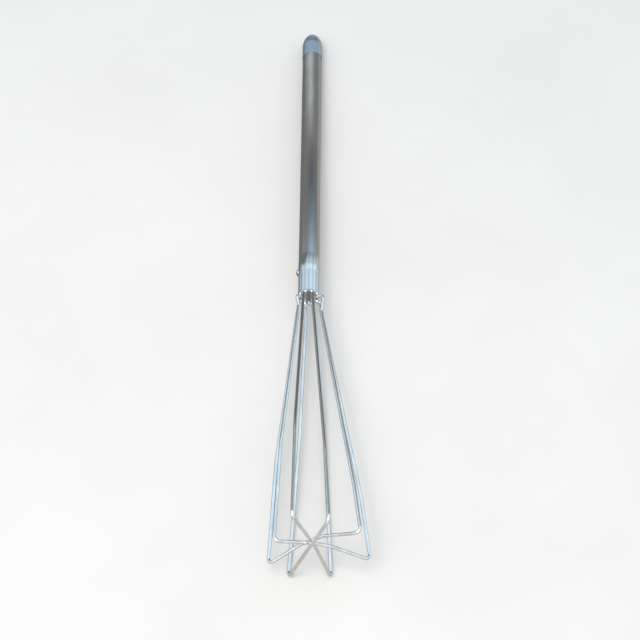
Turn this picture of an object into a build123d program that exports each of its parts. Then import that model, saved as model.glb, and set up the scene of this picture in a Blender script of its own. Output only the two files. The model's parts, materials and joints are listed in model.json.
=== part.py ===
from build123d import *
import math
import os
from collections import namedtuple

# A hand whisk for mixing paint and plaster: a steel tube with eight wires swaged into its lower
# end. It is drawn upright, with the handle's axis on Z and the cage's base near Z = 0, and then
# laid down as it rests on a bench. All sizes are millimetres.

# Handle tube. Heights on the tube are measured up from its rim, where the wires come out.
CAGE_LENGTH = 262.0
TUBE_LENGTH = 302.0
TUBE_RADIUS = 9.0
BORE_RADIUS = 8.0
TUBE_TOP_CHAMFER = 0.15

# Swaged collar: a flared lip at the rim, a slight neck, then a wider band that tapers to the tube.
LIP_RADIUS = 9.75
LIP_HEIGHT = 0.6
NECK_RADIUS = 9.25
NECK_HEIGHT = 2.8
COLLAR_RADIUS = 9.5
COLLAR_START = 11.0
COLLAR_END = 28.0
TAPER_END = 62.0
GROOVE_COUNT = 8
GROOVE_HEIGHT = 26.0
GROOVE_TOOL_RADIUS = 3.5
GROOVE_DEPTH = 0.3

# Wires
WIRE_RADIUS = 1.4
WIRE_CIRCLE_RADIUS = 7.15      # the circle that the wires' centres lie on inside the tube
WIRE_INSERT = 24.0             # how far the wires reach up inside the tube
CHANNEL_RADIUS = 1.42          # the round channels that hold the wires
ELBOW_DROP = 1.5               # the first bend's corner, below the rim
ELBOW_RADIUS = 1.6
SHOULDER_BEND = 8.0
BOW_BEND = 150.0
KINK_BEND = 6.0

# Plugs
PLUG_CLEARANCE = 0.02
CORE_START = 1.0
CORE_END = 40.0
CORE_CHAMFER = 0.5
HEAD_RADIUS = 9.25
HEAD_LENGTH = 16.0
DOME_LENGTH = 16.0
DOME_FULLNESS = 0.55           # 0.55 is a true ellipse, and more is blunter
HEAD_CHAMFER = 0.15
SPIGOT_LENGTH = 14.0

# Rivet, on the left of the collar just above the wires' ends
RIVET_HEIGHT = 28.0
RIVET_SHANK_RADIUS = 2.0
RIVET_HOLE_RADIUS = 2.02
RIVET_HEAD_RADIUS = 3.5
RIVET_HEAD_RISE = 1.6          # how far the head stands above the collar
RIVET_SHANK_REACH = 3.0        # how far the shank goes past the handle's axis
RIVET_HOLE_SPARE = 0.3

# How far the handle's axis dips towards the plug when the whisk lies on the bench
REST_TILT = 3.09

# The eight legs. azimuth is where the leg leaves the tube: 0 faces up on the bench, 90 faces right.
# neck is the corner of its first bend outside the tube: radius, drop below the rim, and the
# bend's own radius. shoulder is the corner where the leg straightens: radius, drop and azimuth.
# bow is how far its long stretch bows outwards, and at what fraction of the way to the foot.
# foot is the corner of its bend into the base, and bend that bend's radius.
Leg = namedtuple("Leg", "azimuth neck shoulder bow foot bend")
LEGS = {
    "top_left": Leg(-22.5, (9.8, 3.0, 1.6), (12.0, 18.0, -22.5), (4.5, 0.60), (-10.0, -41.0, 1.0), 4.0),
    "top_right": Leg(22.5, (9.8, 3.0, 1.6), (11.8, 18.0, 20.0), (2.5, 0.70), (18.5, -38.5, -1.0), 5.0),
    "upper_left": Leg(-67.5, (10.8, 2.0, 1.8), (8.6, 12.0, -67.5), (3.0, 0.60), (-24.0, -8.5, 0.0), 4.0),
    "upper_right": Leg(67.5, (13.8, 2.8, 2.8), (11.8, 20.0, 67.5), (1.5, 0.80), (43.5, -21.5, 0.0), 4.0),
    "lower_left": Leg(-112.5, (8.6, 3.5, 1.6), (10.4, 18.0, -112.5), (4.0, 0.60), (-28.5, 22.5, -1.0), 4.0),
    "lower_right": Leg(112.5, (11.0, 2.6, 1.6), (13.0, 17.0, 112.5), (2.6, 0.75), (52.2, 15.5, 0.0), 4.0),
    "bottom_left": Leg(
        -157.5, (9.5, 3.0, 1.6), (11.6, 18.0, -170.0), (-4.5, 0.50), (-12.5, 39.8, -1.0), 5.0
    ),
    "bottom_right": Leg(
        157.5, (9.5, 3.0, 1.6), (13.0, 18.0, 150.0), (4.0, 0.40), (21.5, 39.5, -1.0), 5.0
    ),
}
CAGE_LEAN = 2.8                # how far the cage's middle stands to the right of the handle's axis

# Each loop is two legs and the base run between them. A kink in the base run is a fraction of the
# way from the first foot to the second, a height, and a shift to the run's left. The base runs
# cross, and the loops are numbered from the outermost run to the innermost.
Loop = namedtuple("Loop", "first second kinks")
LOOPS = {
    "wire_loop_1": Loop("bottom_left", "top_right", [(0.60, -0.6, 0.0)]),
    "wire_loop_2": Loop("top_left", "bottom_right", [(0.44, 2.3, -1.6), (0.58, 2.3, -1.4)]),
    "wire_loop_3": Loop(
        "upper_left", "lower_right", [(0.30, 4.3, 0.0), (0.45, 5.6, 0.0), (0.60, 5.6, 0.0)]
    ),
    "wire_loop_4": Loop(
        "lower_left", "upper_right", [(0.35, 8.1, 0.0), (0.50, 8.7, 0.0), (0.60, 8.7, 0.0)]
    ),
}


def outward(azimuth):
    """The level direction that points away from the handle's axis at an azimuth."""
    turn = math.radians(azimuth)
    return Vector(math.sin(turn), -math.cos(turn), 0)


def at(direction, radius, height):
    """A point at a radius from the handle's axis, at a height above the rim."""
    return direction.normalized() * radius + Vector(0, 0, CAGE_LENGTH + height)


def revolved(outline):
    """The solid that an outline of radius and height above the rim makes round the axis."""
    face = Plane.XZ * make_face(outline)
    return Pos(Z=CAGE_LENGTH) * revolve(face, Axis.Z)


def rods(radius, circle_radius, start, end, count, first_azimuth):
    """Upright rods, evenly spaced on a circle round the handle's axis."""
    return [
        Pos(at(outward(first_azimuth + turn * 360 / count), circle_radius, (start + end) / 2))
        * Cylinder(radius, end - start)
        for turn in range(count)
    ]


def tube_body():
    """The handle tube's outer form with nothing cut out of it."""
    top = TUBE_LENGTH - TUBE_TOP_CHAMFER
    outline = [
        Line((0, 0), (LIP_RADIUS, 0)),
        Line((LIP_RADIUS, 0), (LIP_RADIUS, LIP_HEIGHT)),
        Spline(
            (LIP_RADIUS, LIP_HEIGHT), (NECK_RADIUS, NECK_HEIGHT), (COLLAR_RADIUS, COLLAR_START),
            tangents=((-1, 1), (0, 1)),
        ),
        Line((COLLAR_RADIUS, COLLAR_START), (COLLAR_RADIUS, COLLAR_END)),
        Spline((COLLAR_RADIUS, COLLAR_END), (TUBE_RADIUS, TAPER_END), tangents=((0, 1), (0, 1))),
        Line((TUBE_RADIUS, TAPER_END), (TUBE_RADIUS, top)),
        Line((TUBE_RADIUS, top), (TUBE_RADIUS - TUBE_TOP_CHAMFER, TUBE_LENGTH)),
        Line((TUBE_RADIUS - TUBE_TOP_CHAMFER, TUBE_LENGTH), (0, TUBE_LENGTH)),
        Line((0, TUBE_LENGTH), (0, 0)),
    ]
    body = revolved(outline)
    tool_circle = COLLAR_RADIUS - GROOVE_DEPTH + GROOVE_TOOL_RADIUS
    body -= rods(GROOVE_TOOL_RADIUS, tool_circle, -5, GROOVE_HEIGHT, GROOVE_COUNT, 0)
    for turn in range(GROOVE_COUNT):
        run_out = at(outward(turn * 360 / GROOVE_COUNT), tool_circle, GROOVE_HEIGHT)
        body -= Pos(run_out) * Sphere(GROOVE_TOOL_RADIUS)
    return body


def rivet_rod(radius, start, end):
    """A rod across the handle at the rivet's height, between two places along X."""
    middle = Vector((start + end) / 2, 0, CAGE_LENGTH + RIVET_HEIGHT)
    return Pos(middle) * Rot(Y=90) * Cylinder(radius, end - start)


def wire_channels(start):
    """The eight round channels that the wires' ends lie in."""
    first_azimuth = 180 / GROOVE_COUNT
    spare = 0.5
    return rods(
        CHANNEL_RADIUS, WIRE_CIRCLE_RADIUS, start, WIRE_INSERT + spare, GROOVE_COUNT, first_azimuth
    )


def handle_tube(body):
    """The tube's wall: its outer form less the bore, the wires' channels and the rivet's hole."""
    bore = Pos(Z=CAGE_LENGTH + TUBE_LENGTH / 2) * Cylinder(BORE_RADIUS, TUBE_LENGTH + 2)
    wall = body - bore
    wall -= wire_channels(-5)
    wall -= rivet_rod(RIVET_HOLE_RADIUS, -2 * TUBE_RADIUS, 0)
    return wall


def core_plug():
    """The plug in the tube's lower end that the wires are squeezed against."""
    length = CORE_END - CORE_START
    plug = Cylinder(BORE_RADIUS - PLUG_CLEARANCE, length)
    plug = chamfer(plug.edges().filter_by(GeomType.CIRCLE), CORE_CHAMFER)
    plug = Pos(Z=CAGE_LENGTH + (CORE_START + CORE_END) / 2) * plug
    plug -= wire_channels(-5)
    plug -= rivet_rod(RIVET_HOLE_RADIUS, -2 * TUBE_RADIUS, RIVET_SHANK_REACH + RIVET_HOLE_SPARE)
    return plug


def rivet(body):
    """A domed rivet through the collar's left side. Its head is seated on the collar."""
    crown = COLLAR_RADIUS + RIVET_HEAD_RISE
    head_depth = 2.2
    sphere_radius = (RIVET_HEAD_RADIUS ** 2 + head_depth ** 2) / (2 * head_depth)
    ball = Pos(-crown + sphere_radius, 0, CAGE_LENGTH + RIVET_HEIGHT) * Sphere(sphere_radius)
    head = ball & rivet_rod(RIVET_HEAD_RADIUS, -crown, -crown + head_depth)
    head -= body
    return head + rivet_rod(RIVET_SHANK_RADIUS, -COLLAR_RADIUS, RIVET_SHANK_REACH)


def end_plug():
    """The bullet-shaped plug that closes the tube's upper end, with its spigot."""
    dome_start = TUBE_LENGTH + HEAD_LENGTH
    dome_end = dome_start + DOME_LENGTH
    spigot_radius = BORE_RADIUS - PLUG_CLEARANCE
    spigot_start = TUBE_LENGTH - SPIGOT_LENGTH
    outline = [
        Polyline(
            (0, dome_end),
            (0, spigot_start),
            (spigot_radius - CORE_CHAMFER, spigot_start),
            (spigot_radius, spigot_start + CORE_CHAMFER),
            (spigot_radius, TUBE_LENGTH),
            (HEAD_RADIUS - HEAD_CHAMFER, TUBE_LENGTH),
            (HEAD_RADIUS, TUBE_LENGTH + HEAD_CHAMFER),
            (HEAD_RADIUS, dome_start),
        ),
        Bezier(
            (HEAD_RADIUS, dome_start),
            (HEAD_RADIUS, dome_start + DOME_LENGTH * DOME_FULLNESS),
            (HEAD_RADIUS * DOME_FULLNESS, dome_end),
            (0, dome_end),
        ),
    ]
    return revolved(outline)


def leg_points(leg):
    """The corners of one leg's route, from inside the tube down to its foot."""
    start = outward(leg.azimuth)
    neck_radius, neck_drop, _ = leg.neck
    shoulder_radius, shoulder_drop, shoulder_azimuth = leg.shoulder
    away = outward(shoulder_azimuth)
    shoulder = at(away, shoulder_radius, -shoulder_drop)
    foot = Vector(*leg.foot)
    bow, fraction = leg.bow
    bow_direction = Vector(foot.X - CAGE_LEAN, foot.Y, 0).normalized()
    return [
        at(start, WIRE_CIRCLE_RADIUS, WIRE_INSERT),
        at(start, WIRE_CIRCLE_RADIUS, -ELBOW_DROP),
        at(start + away, neck_radius, -neck_drop),
        shoulder,
        shoulder + (foot - shoulder) * fraction + bow_direction * bow,
        foot,
    ]


def leg_bends(leg):
    """The radii of one leg's bends, from the tube down to its foot."""
    return [ELBOW_RADIUS, leg.neck[2], SHOULDER_BEND, BOW_BEND, leg.bend]


def base_points(loop):
    """The corners of a loop's base run, between its two feet."""
    start = Vector(*LEGS[loop.first].foot)
    end = Vector(*LEGS[loop.second].foot)
    along = end - start
    left = Vector(-along.Y, along.X, 0).normalized()
    points = []
    for fraction, height, shift in loop.kinks:
        point = start + along * fraction + left * shift
        points.append(Vector(point.X, point.Y, height))
    return points


def wire_route(loop):
    """One wire's whole route: straight runs joined by tangent arcs."""
    first = LEGS[loop.first]
    second = LEGS[loop.second]
    corners = leg_points(first) + base_points(loop) + leg_points(second)[::-1]
    bends = leg_bends(first) + [KINK_BEND] * len(loop.kinks) + leg_bends(second)[::-1]
    return FilletPolyline(*corners, radius=bends)


def wire_loop(loop):
    """The wire itself: a round section carried along its route."""
    route = wire_route(loop)
    section = Plane(origin=route @ 0, z_dir=route % 0) * Circle(WIRE_RADIUS)
    wire = sweep(section, path=route)
    print("wire length", round(route.length, 1), "volume over section times length",
          round(wire.volume / (math.pi * WIRE_RADIUS ** 2 * route.length), 4))
    return wire


def laid_down(pieces):
    """The pieces as they rest on the bench, centred on the origin with the bench at Z = 0."""
    turned = {name: Rot(X=-(90 + REST_TILT)) * piece for name, piece in pieces.items()}
    box = Compound(list(turned.values())).bounding_box()
    rest = Pos(-box.center().X, -box.center().Y, -box.min.Z)
    return {name: rest * piece for name, piece in turned.items()}


def main():
    body = tube_body()
    pieces = {
        "handle_tube": handle_tube(body),
        "core_plug": core_plug(),
        "rivet": rivet(body),
        "end_plug": end_plug(),
    }
    for name, loop in LOOPS.items():
        pieces[name] = wire_loop(loop)
    os.makedirs("parts", exist_ok=True)
    for name, piece in laid_down(pieces).items():
        export_step(piece, f"parts/{name}.step")
        print(name, "lowest point", round(piece.bounding_box().min.Z, 3))


main()
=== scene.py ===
import json
import math

import bpy
from mathutils import Matrix, Vector


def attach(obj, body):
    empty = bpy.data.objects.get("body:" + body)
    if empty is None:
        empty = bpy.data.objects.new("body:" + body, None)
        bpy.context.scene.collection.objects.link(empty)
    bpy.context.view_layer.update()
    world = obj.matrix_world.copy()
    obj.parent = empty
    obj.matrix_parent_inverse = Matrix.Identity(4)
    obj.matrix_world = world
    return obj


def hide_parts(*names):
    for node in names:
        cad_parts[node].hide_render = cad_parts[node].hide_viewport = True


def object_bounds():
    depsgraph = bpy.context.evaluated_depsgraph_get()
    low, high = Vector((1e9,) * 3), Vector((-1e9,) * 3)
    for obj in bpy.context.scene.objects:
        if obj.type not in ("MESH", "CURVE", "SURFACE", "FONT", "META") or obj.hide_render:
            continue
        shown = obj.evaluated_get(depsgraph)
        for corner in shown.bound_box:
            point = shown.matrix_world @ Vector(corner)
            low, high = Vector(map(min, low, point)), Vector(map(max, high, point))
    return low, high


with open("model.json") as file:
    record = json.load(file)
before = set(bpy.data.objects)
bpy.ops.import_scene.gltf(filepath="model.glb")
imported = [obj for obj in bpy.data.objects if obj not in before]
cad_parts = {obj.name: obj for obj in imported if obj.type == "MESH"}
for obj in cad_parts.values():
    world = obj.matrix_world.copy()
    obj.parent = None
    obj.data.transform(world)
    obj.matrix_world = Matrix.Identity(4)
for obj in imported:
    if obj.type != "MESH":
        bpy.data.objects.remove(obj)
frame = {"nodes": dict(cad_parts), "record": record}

CAD_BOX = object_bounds()

# The handle's axis runs from the cage to the domed end. It comes from the mount, whose middle is
# GRIP_TO_RIM up the tube from its rim. BASE is where the axis meets the base of the cage.
GRIP = next(mount for mount in frame["record"]["mounts"] if mount["name"] == "handle_grip")
AXIS = Vector(GRIP["axis"]).normalized()
ACROSS = Vector((1, 0, 0))
UPWARD = ACROSS.cross(AXIS)
CAGE_LENGTH = 0.262
GRIP_TO_RIM = 0.182
RIM = Vector(GRIP["pos_m"]) - AXIS * GRIP_TO_RIM
BASE = RIM - AXIS * CAGE_LENGTH
# The turn that lays the handle's axis along a material's local Y
ALONG_HANDLE = (math.asin(-AXIS.z), 0, 0)

# The camera, as fitted to the photo. It aims at a point on the axis this far up from the base,
# from this far off, and leans this many degrees from square to the handle towards the domed end.
# Its three turns are in degrees, and its lens and sensor in millimetres.
CAMERA_AIM = 0.270
CAMERA_DISTANCE = 1.9
CAMERA_STEEPNESS = 41.704
CAMERA_YAW = -0.309
CAMERA_PITCH = -0.768
CAMERA_ROLL = -0.912
CAMERA_LENS = 123.84
CAMERA_SENSOR = 36.0
CAMERA_RANGE = (0.05, 50.0)

LOOP_COUNT = 4

# The handle tube's sizes, in metres. Heights are measured up from its rim.
TUBE_RADIUS = 0.009
TUBE_LENGTH = 0.302
BORE_RADIUS = 0.008
TUBE_EDGE = 0.00015
# The tube's outline without its grooves: height, radius
TUBE_OUTLINE = [
    (0.0, 0.00945), (0.0003, 0.00952), (0.0012, 0.00927), (0.028, 0.00927), (0.046, TUBE_RADIUS),
    (TUBE_LENGTH, TUBE_RADIUS),
]
# One rib over each leg of a loop, with a groove on each side. A fainter dent runs along every
# rib and groove. They fade out above RIB_END.
RIB_COUNT = 2 * LOOP_COUNT
GROOVE_DEPTH = 0.00016
DENT_DEPTH = 0.00008
RIB_END = 0.024
RIB_FADE = 0.009
# The wires' channels, which widen the bore: the circle that they stand on, their own radius and
# how far up they reach
CHANNEL_CIRCLE = 0.00715
CHANNEL_RADIUS = 0.00142
CHANNEL_DEPTH = 0.0245
# The mesh: points round each row, the heights of the rows on the lip, and above them the first
# height, step and count of each run of rows
TUBE_COLUMNS = 320
LIP_ROWS = [0.0, 0.00015, 0.0003, 0.0006]
TUBE_ROWS = [(0.0010, 0.0004, 89), (0.0372, 0.0010, 27), (0.080, 0.010, 22)]
# Rows this close together keep an edge crisp inside the bore
CREASE = 0.0001
# Edges that turn by more than this many degrees aren't shaded smooth
SHARP_ANGLE = 35

# Where the pressed collar's painted reflection, a brighter base colour, fades out along with its
# rougher finish, how ragged that edge is, how much further up it reaches away from the left, and the
# span across the tube where that sets in
PRESSED_EDGE = (0.026, 0.037)
PRESSED_RAGGED = 0.006
PRESSED_LIFT = 0.013
PRESSED_LIFT_SPAN = (-0.0045, -0.001)
# The end plug's seam: its painted shade line, which dims the bright reflection on the step, starts
# and ends at these heights above the tube
SEAM_SHADE = (0.0001, 0.0004)

FLOOR_HALF = 4.0
# Glossy reflections see the floor in painted tones. Beside the whisk they see painted shade, which
# lightens from left to right over this span of X.
# In front of the cage they see a painted tone of its own, which ends over this span of Y.
SHADE_BESIDE_SPAN = (-0.03, 0.01)
REFLECTION_FRONT_SPAN = (-0.30, -0.20)

# The surroundings by how far their direction points along the handle: 1 is straight along it
# towards the domed end, and -1 straight back. A pale-blue sky ends in a darker band there.
SKY_STRENGTH = 1.5
SIDES = [
    (-1.0, (0.60, 0.61, 0.62)),
    (0.10, (0.68, 0.72, 0.75)),
    (0.42, (0.66, 0.79, 0.88)),
    (0.60, (0.60, 0.75, 0.84)),
    (0.657, (0.50, 0.63, 0.72)),
    (0.669, (0.40, 0.50, 0.57)),
    (0.677, (0.22, 0.23, 0.24)),
    (0.700, (0.18, 0.175, 0.17)),
    (0.735, (0.24, 0.25, 0.24)),
    (0.76, (0.20, 0.21, 0.22)),
    (0.79, (0.10, 0.10, 0.10)),
    (0.90, (0.09, 0.09, 0.09)),
    (0.95, (0.24, 0.28, 0.32)),
    (1.0, (0.32, 0.38, 0.43)),
]
# The same along the middle, where a pale streak is broken by a dark gap
MIDDLE = [
    (0.655, (0.66, 0.84, 0.94)),
    (0.674, (0.54, 0.74, 0.88)),
    (0.680, (0.35, 0.47, 0.60)),
    (0.685, (0.24, 0.30, 0.40)),
    (0.692, (0.17, 0.21, 0.27)),
    (0.700, (0.07, 0.08, 0.09)),
    (0.711, (0.07, 0.07, 0.07)),
    (0.720, (0.34, 0.34, 0.32)),
    (0.728, (0.58, 0.61, 0.60)),
    (0.736, (0.66, 0.74, 0.74)),
    (0.746, (0.38, 0.45, 0.48)),
    (0.770, (0.16, 0.16, 0.16)),
]
# The middle's share by how far a direction points to the right. The streak is centred at
# STREAK_CENTRED along the handle, and towards the cage it leans STREAK_LEAN to 1 to the right.
STREAK = [
    (-0.65, 0.0), (-0.42, 0.30), (-0.20, 0.85), (0.0, 1.0), (0.20, 0.85), (0.42, 0.30), (0.60, 0.0),
]
STREAK_LEAN = 8.6
STREAK_CENTRED = 0.712


# ---------------------------------------------------------------- shader helpers

def new_material(name):
    """An empty node material with a Principled shader joined to its output."""
    material = bpy.data.materials.new(name)
    material.use_nodes = True
    tree = material.node_tree
    tree.nodes.clear()
    shader = tree.nodes.new("ShaderNodeBsdfPrincipled")
    output = tree.nodes.new("ShaderNodeOutputMaterial")
    tree.links.new(shader.outputs[0], output.inputs["Surface"])
    return material, tree, shader


def feed(tree, value, socket):
    """Give a socket a number, or link another socket to it."""
    if isinstance(value, (int, float)):
        socket.default_value = value
    else:
        tree.links.new(value, socket)


def calculated(tree, operation, *values):
    """One Math node's result. Each value may be a number or a socket."""
    node = tree.nodes.new("ShaderNodeMath")
    node.operation = operation
    for value, socket in zip(values, node.inputs):
        feed(tree, value, socket)
    return node.outputs[0]


def coordinates(tree, scale, turn=(0, 0, 0)):
    """Object coordinates in metres, turned and scaled."""
    point = tree.nodes.new("ShaderNodeTexCoord")
    mapping = tree.nodes.new("ShaderNodeMapping")
    mapping.inputs["Rotation"].default_value = turn
    mapping.inputs["Scale"].default_value = scale
    tree.links.new(point.outputs["Object"], mapping.inputs["Vector"])
    return mapping.outputs["Vector"]


def noise(tree, vector, detail, roughness=0.55, distortion=0.0):
    """A noise texture's value, whose size is set by the vector."""
    texture = tree.nodes.new("ShaderNodeTexNoise")
    texture.inputs["Scale"].default_value = 1.0
    texture.inputs["Detail"].default_value = detail
    texture.inputs["Roughness"].default_value = roughness
    texture.inputs["Distortion"].default_value = distortion
    tree.links.new(vector, texture.inputs["Vector"])
    return texture.outputs["Fac"]


def ramp(tree, value, stops):
    """A colour ramp. stops are (position, colour), and a colour may be one number for a grey."""
    node = tree.nodes.new("ShaderNodeValToRGB")
    elements = node.color_ramp.elements
    while len(elements) < len(stops):
        elements.new(0.5)
    for element, (position, colour) in zip(elements, stops):
        element.position = position
        element.color = (*colour, 1) if isinstance(colour, tuple) else (colour, colour, colour, 1)
    tree.links.new(value, node.inputs["Fac"])
    return node.outputs["Color"]


def mixed(tree, blend, factor, first, second):
    """Two colours mixed. factor may be a number or a socket."""
    node = tree.nodes.new("ShaderNodeMix")
    node.data_type = "RGBA"
    node.blend_type = blend
    feed(tree, factor, node.inputs["Factor"])
    tree.links.new(first, node.inputs["A"])
    tree.links.new(second, node.inputs["B"])
    return node.outputs["Result"]


def span(tree, value, low, high):
    """0 where a value is at or under low, and 1 where it is at or over high."""
    node = tree.nodes.new("ShaderNodeMapRange")
    node.inputs["From Min"].default_value = low
    node.inputs["From Max"].default_value = high
    tree.links.new(value, node.inputs["Value"])
    return node.outputs["Result"]


def bump(tree, shader, height, distance):
    """Bump from a height value that stands for a distance in metres, joined to the shader."""
    node = tree.nodes.new("ShaderNodeBump")
    node.inputs["Distance"].default_value = distance
    node.inputs["Strength"].default_value = 1.0
    tree.links.new(height, node.inputs["Height"])
    tree.links.new(node.outputs["Normal"], shader.inputs["Normal"])


def pointing(tree, vector, direction):
    """How far a vector goes in a direction."""
    node = tree.nodes.new("ShaderNodeVectorMath")
    node.operation = "DOT_PRODUCT"
    tree.links.new(vector, node.inputs[0])
    node.inputs[1].default_value = direction
    return node.outputs["Value"]


def measured_from_rim(tree, direction, height=0.0):
    """How far a point is in a direction from the axis's point at a height up from the rim."""
    point = tree.nodes.new("ShaderNodeTexCoord").outputs["Object"]
    start = RIM + AXIS * height
    return calculated(tree, "SUBTRACT", pointing(tree, point, direction), start.dot(direction))


# ---------------------------------------------------------------- metals

def metal(tree, shader, dark, light, rough, grain_scale, patch_scale, grain_depth, turn=(0, 0, 0)):
    """A worn metal: patchy colour, patchy roughness and a fine grain along local Y.

    dark and light are the two colours that the patches run between, and rough the lowest and
    highest roughness. Returns the colour and roughness sockets.
    """
    shader.inputs["Metallic"].default_value = 1.0
    grain = noise(tree, coordinates(tree, grain_scale, turn), detail=6.0, roughness=0.6)
    patches = noise(tree, coordinates(tree, patch_scale, turn), detail=5.0, distortion=0.6)
    colour = ramp(tree, patches, [(0.32, dark), (0.68, light)])
    streaks = ramp(tree, grain, [(0.30, 0.90), (0.70, 1.0)])
    colour = mixed(tree, "MULTIPLY", 1.0, colour, streaks)
    smoothest, roughest = rough
    dull = ramp(tree, patches, [(0.35, roughest), (0.70, smoothest)])
    sparkle = ramp(tree, grain, [(0.25, 1.0), (0.75, 0.8)])
    dull = mixed(tree, "MULTIPLY", 1.0, dull, sparkle)
    tree.links.new(colour, shader.inputs["Base Color"])
    tree.links.new(dull, shader.inputs["Roughness"])
    bump(tree, shader, grain, grain_depth)
    return colour, dull


def tube_metal():
    """Drawn steel. The collar is rougher, with a painted reflection in its base colour: bright bluish
    stripes that darken to a line down each rib and groove.
    """
    material, tree, shader = new_material("tube_steel")
    colour, dull = metal(
        tree, shader, dark=(0.48, 0.475, 0.47), light=(0.56, 0.56, 0.56), rough=(0.07, 0.10),
        grain_scale=(1400, 9, 1400), patch_scale=(60, 14, 60), grain_depth=0.000006,
        turn=ALONG_HANDLE,
    )
    ragged = noise(tree, coordinates(tree, (220, 60, 220), ALONG_HANDLE), detail=4.0)
    height = measured_from_rim(tree, AXIS)
    edge = calculated(tree, "MULTIPLY_ADD", ragged, PRESSED_RAGGED, height)
    # The painted reflection on the collar reaches further up on the right
    from_left = span(tree, measured_from_rim(tree, ACROSS), *PRESSED_LIFT_SPAN)
    edge = calculated(tree, "MULTIPLY_ADD", from_left, -PRESSED_LIFT, edge)
    plain = span(tree, edge, *PRESSED_EDGE)
    right, up = measured_from_rim(tree, ACROSS), measured_from_rim(tree, UPWARD)
    turn = calculated(tree, "ARCTAN2", right, up)
    wave = calculated(tree, "COSINE", calculated(tree, "MULTIPLY", turn, 2 * RIB_COUNT))
    # Painted reflection stripes, bright between the ribs and grooves and darker down each one
    rib_reflection_stops = [(0.0, (0.90, 0.94, 0.96)), (1.0, (0.68, 0.73, 0.76))]
    lines = ramp(tree, span(tree, wave, -1, 1), rib_reflection_stops)
    # Below the edge the base colour is the painted reflection, and above it the plain steel
    tree.links.new(mixed(tree, "MIX", plain, lines, colour), shader.inputs["Base Color"])
    soft = ramp(tree, ragged, [(0.3, 0.17), (0.7, 0.24)])
    tree.links.new(mixed(tree, "MIX", plain, soft, dull), shader.inputs["Roughness"])
    return material


def plug_metal():
    """Satin blue-grey steel, with painted shade in the seam where the plug meets the tube."""
    material, tree, shader = new_material("plug_steel")
    colour, _ = metal(
        tree, shader, dark=(0.52, 0.63, 0.72), light=(0.58, 0.69, 0.78), rough=(0.30, 0.36),
        grain_scale=(120, 900, 120), patch_scale=(60, 60, 60), grain_depth=0.000002,
        turn=ALONG_HANDLE,
    )
    height = measured_from_rim(tree, AXIS, TUBE_LENGTH)
    # A painted shade line in the seam, which dims the step's reflection
    seam = ramp(tree, span(tree, height, *SEAM_SHADE), [(0.0, (0.22, 0.24, 0.26)), (1.0, 1.0)])
    tree.links.new(mixed(tree, "MULTIPLY", 1.0, colour, seam), shader.inputs["Base Color"])
    return material


def core_metal():
    """Plain turned steel."""
    material, tree, shader = new_material("core_steel")
    metal(
        tree, shader, dark=(0.40, 0.39, 0.38), light=(0.56, 0.55, 0.54), rough=(0.30, 0.45),
        grain_scale=(200, 900, 200), patch_scale=(200, 200, 200), grain_depth=0.00001,
        turn=ALONG_HANDLE,
    )
    return material


def rivet_metal():
    """Satin steel with small patches."""
    material, tree, shader = new_material("rivet_steel")
    metal(
        tree, shader, dark=(0.60, 0.61, 0.62), light=(0.84, 0.86, 0.88), rough=(0.18, 0.34),
        grain_scale=(700, 700, 700), patch_scale=(500, 500, 500), grain_depth=0.000006,
    )
    return material


def wire_metal():
    """Bright plated wire, with faint lines along it and slightly duller patches."""
    material, tree, shader = new_material("wire_steel")
    metal(
        tree, shader, dark=(0.70, 0.71, 0.73), light=(0.86, 0.87, 0.89), rough=(0.10, 0.18),
        grain_scale=(500, 40, 500), patch_scale=(120, 40, 120), grain_depth=0.000002,
    )
    return material


# ---------------------------------------------------------------- the object

def dress(node, material):
    """Put one material in every slot of a CAD node."""
    for slot in frame["nodes"][node].material_slots:
        slot.material = material


def dress_nodes():
    """Materials for the CAD nodes that stay."""
    dress("end_plug", plug_metal())
    dress("core_plug", core_metal())
    dress("rivet", rivet_metal())
    wire = wire_metal()
    for number in range(1, LOOP_COUNT + 1):
        dress(f"wire_loop_{number}", wire)


def eased(share):
    """A share from 0 to 1 with level ends."""
    return share * share * (3 - 2 * share)


def smooth_between(table, spot):
    """A table's value at a spot, with level tangents at its entries."""
    for (start, low), (end, high) in zip(table, table[1:]):
        if spot <= end:
            return low + (high - low) * eased((spot - start) / (end - start))
    return table[-1][1]


def outer_radius(turn, height):
    """The outline's radius less the grooves and dents, which fade out up the tube."""
    fade = min(max((RIB_END + RIB_FADE - height) / RIB_FADE, 0), 1)
    groove = GROOVE_DEPTH * (1 + math.cos(RIB_COUNT * turn)) / 2
    dent = DENT_DEPTH * (1 + math.cos(2 * RIB_COUNT * turn)) / 2
    return smooth_between(TUBE_OUTLINE, height) - (groove + dent) * eased(fade)


def inner_radius(turn, height):
    """The bore, opened out where the wires' channels are."""
    if height > CHANNEL_DEPTH:
        return BORE_RADIUS
    spacing = 2 * math.pi / RIB_COUNT
    off_centre = (turn % spacing) - spacing / 2
    reach = CHANNEL_RADIUS ** 2 - (CHANNEL_CIRCLE * math.sin(off_centre)) ** 2
    if reach <= 0:
        return BORE_RADIUS
    return max(BORE_RADIUS, CHANNEL_CIRCLE * math.cos(off_centre) + math.sqrt(reach))


def tube_rows():
    """The mesh's rows as (height, radii): up the outside, in over the top edge, down the bore."""
    turns = [2 * math.pi * column / TUBE_COLUMNS for column in range(TUBE_COLUMNS)]
    heights = LIP_ROWS.copy()
    for first, step, count in TUBE_ROWS:
        heights += [first + step * number for number in range(count)]
    heights.append(TUBE_LENGTH - TUBE_EDGE)
    rows = [(height, [outer_radius(turn, height) for turn in turns]) for height in heights]
    rows.append((TUBE_LENGTH, [TUBE_RADIUS - TUBE_EDGE] * TUBE_COLUMNS))
    for height in (TUBE_LENGTH, CHANNEL_DEPTH + CREASE, CHANNEL_DEPTH, CREASE, 0.0):
        rows.append((height, [inner_radius(turn, height) for turn in turns]))
    return rows


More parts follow.
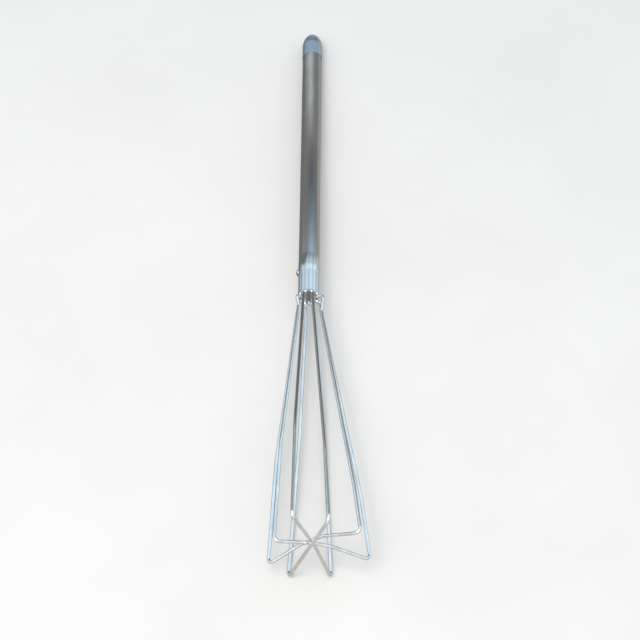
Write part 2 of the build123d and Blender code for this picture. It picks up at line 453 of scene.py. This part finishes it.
def handle_piece():
    """The handle tube as a closed skin, whose last row joins its first across the rim."""
    rows = tube_rows()
    points = []
    for height, radii in rows:
        for column, radius in enumerate(radii):
            turn = 2 * math.pi * column / TUBE_COLUMNS
            away = UPWARD * math.cos(turn) + ACROSS * math.sin(turn)
            points.append(RIM + AXIS * height + away * radius)
    faces = []
    for row in range(len(rows)):
        after = (row + 1) % len(rows)
        for column in range(TUBE_COLUMNS):
            beside = (column + 1) % TUBE_COLUMNS
            faces.append((
                row * TUBE_COLUMNS + column, row * TUBE_COLUMNS + beside,
                after * TUBE_COLUMNS + beside, after * TUBE_COLUMNS + column,
            ))
    mesh = bpy.data.meshes.new("handle_tube_skin")
    mesh.from_pydata(points, [], faces)
    mesh.shade_smooth()
    mesh.set_sharp_from_angle(angle=math.radians(SHARP_ANGLE))
    mesh.materials.append(tube_metal())
    piece = bpy.data.objects.new("handle_tube_skin", mesh)
    bpy.context.scene.collection.objects.link(piece)
    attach(piece, "root")
    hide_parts("handle_tube")


# ---------------------------------------------------------------- the stage

def floor_material():
    """Pale matt grey with a very faint mottle. Glossy reflections see darker greys instead: painted
    shade beside the whisk and a painted reflection tone in front of it.
    """
    material, tree, shader = new_material("floor")
    mottle = noise(tree, coordinates(tree, (6, 6, 6)), detail=3.0)
    pale = ramp(tree, mottle, [(0.3, (0.58, 0.56, 0.545)), (0.7, (0.61, 0.59, 0.575))])
    point = tree.nodes.new("ShaderNodeSeparateXYZ")
    tree.links.new(coordinates(tree, (1, 1, 1)), point.inputs[0])
    from_left = span(tree, point.outputs["X"], *SHADE_BESIDE_SPAN)
    from_front = span(tree, point.outputs["Y"], *REFLECTION_FRONT_SPAN)
    # Painted shade beside the whisk as reflections see it, darker on the left
    beside = ramp(tree, from_left, [(0.0, (0.17, 0.17, 0.175)), (1.0, (0.34, 0.325, 0.30))])
    # A painted brownish reflection tone in front of the cage
    painted_reflection_in_front = ramp(tree, mottle, [(0.3, (0.41, 0.375, 0.35)), (0.7, (0.45, 0.415, 0.39))])
    reflected = mixed(tree, "MIX", from_front, painted_reflection_in_front, beside)
    # Only glossy rays see these painted tones, and the camera sees the pale floor
    rays = tree.nodes.new("ShaderNodeLightPath")
    seen = mixed(tree, "MIX", rays.outputs["Is Glossy Ray"], pale, reflected)
    tree.links.new(seen, shader.inputs["Base Color"])
    shader.inputs["Roughness"].default_value = 0.9
    shader.inputs["Specular IOR Level"].default_value = 0.2
    return material


def floor():
    """A large plain square under the whisk's lowest point."""
    half = FLOOR_HALF
    corners = [(-half, -half, 0), (half, -half, 0), (half, half, 0), (-half, half, 0)]
    mesh = bpy.data.meshes.new("floor")
    mesh.from_pydata(corners, [], [(0, 1, 2, 3)])
    mesh.materials.append(floor_material())
    ground = bpy.data.objects.new("floor", mesh)
    bpy.context.scene.collection.objects.link(ground)
    ground.location.z = CAD_BOX[0].z


def as_share(number):
    """A number from -1 to 1 as a share from 0 to 1."""
    return (number + 1) / 2


def share_along(tree, vector, direction):
    """How far a vector of length 1 points in a direction, as a share from 0 to 1."""
    return calculated(tree, "MULTIPLY_ADD", pointing(tree, vector, direction), 0.5, 0.5)


def surroundings():
    """Soft light from all round, with a pale-blue sky and a darker band beyond the handle."""
    world = bpy.data.worlds.new("surroundings")
    bpy.context.scene.world = world
    world.use_nodes = True
    tree = world.node_tree
    tree.nodes.clear()
    outward = tree.nodes.new("ShaderNodeTexCoord").outputs["Generated"]
    along = share_along(tree, outward, AXIS)
    across = share_along(tree, outward, ACROSS)
    leaned = calculated(tree, "MULTIPLY_ADD", along, STREAK_LEAN, across)
    leaned = calculated(tree, "SUBTRACT", leaned, STREAK_LEAN * as_share(STREAK_CENTRED))
    streak = ramp(tree, leaned, [(as_share(spot), grey) for spot, grey in STREAK])
    sides = ramp(tree, along, [(as_share(spot), colour) for spot, colour in SIDES])
    middle = ramp(tree, along, [(as_share(spot), colour) for spot, colour in MIDDLE])
    background = tree.nodes.new("ShaderNodeBackground")
    background.inputs["Strength"].default_value = SKY_STRENGTH
    output = tree.nodes.new("ShaderNodeOutputWorld")
    tree.links.new(mixed(tree, "MIX", streak, sides, middle), background.inputs["Color"])
    tree.links.new(background.outputs[0], output.inputs["Surface"])


def soft_light(name, azimuth, elevation, distance, size, power, colour):
    """A square area light that looks at the middle of the whisk."""
    lamp = bpy.data.lights.new(name, "AREA")
    lamp.size = size
    lamp.energy = power
    lamp.color = colour
    light = bpy.data.objects.new(name, lamp)
    bpy.context.scene.collection.objects.link(light)
    turn, rise = math.radians(azimuth), math.radians(elevation)
    away = Vector((math.sin(turn) * math.cos(rise), -math.cos(turn) * math.cos(rise), math.sin(rise)))
    light.location = away * distance
    light.rotation_mode = "QUATERNION"
    light.rotation_quaternion = (-away).to_track_quat("-Z", "Y")


def camera():
    """The camera looks down along the handle from the cage's end."""
    steep = math.radians(CAMERA_STEEPNESS)
    forward = AXIS * math.sin(steep) - UPWARD * math.cos(steep)
    position = BASE + AXIS * CAMERA_AIM - forward * CAMERA_DISTANCE
    right, up = ACROSS, ACROSS.cross(forward)
    turn = Matrix.Rotation(math.radians(CAMERA_YAW), 3, up)
    forward, right = turn @ forward, turn @ right
    turn = Matrix.Rotation(math.radians(CAMERA_PITCH), 3, right)
    forward, up = turn @ forward, turn @ up
    turn = Matrix.Rotation(math.radians(CAMERA_ROLL), 3, forward)
    right, up = turn @ right, turn @ up
    data = bpy.data.cameras.new("camera")
    data.lens = CAMERA_LENS
    data.sensor_width = CAMERA_SENSOR
    data.clip_start, data.clip_end = CAMERA_RANGE
    eye = bpy.data.objects.new("camera", data)
    bpy.context.scene.collection.objects.link(eye)
    own_axes = Matrix((right, up, -forward)).transposed()
    eye.matrix_world = Matrix.Translation(position) @ own_axes.to_4x4()
    bpy.context.scene.camera = eye


camera()
dress_nodes()
handle_piece()
floor()
surroundings()
soft_light(
    "key", azimuth=-25, elevation=62, distance=2.6, size=1.6, power=52, colour=(1.0, 0.98, 0.95),
)
bpy.context.scene.view_settings.view_transform = "Standard"
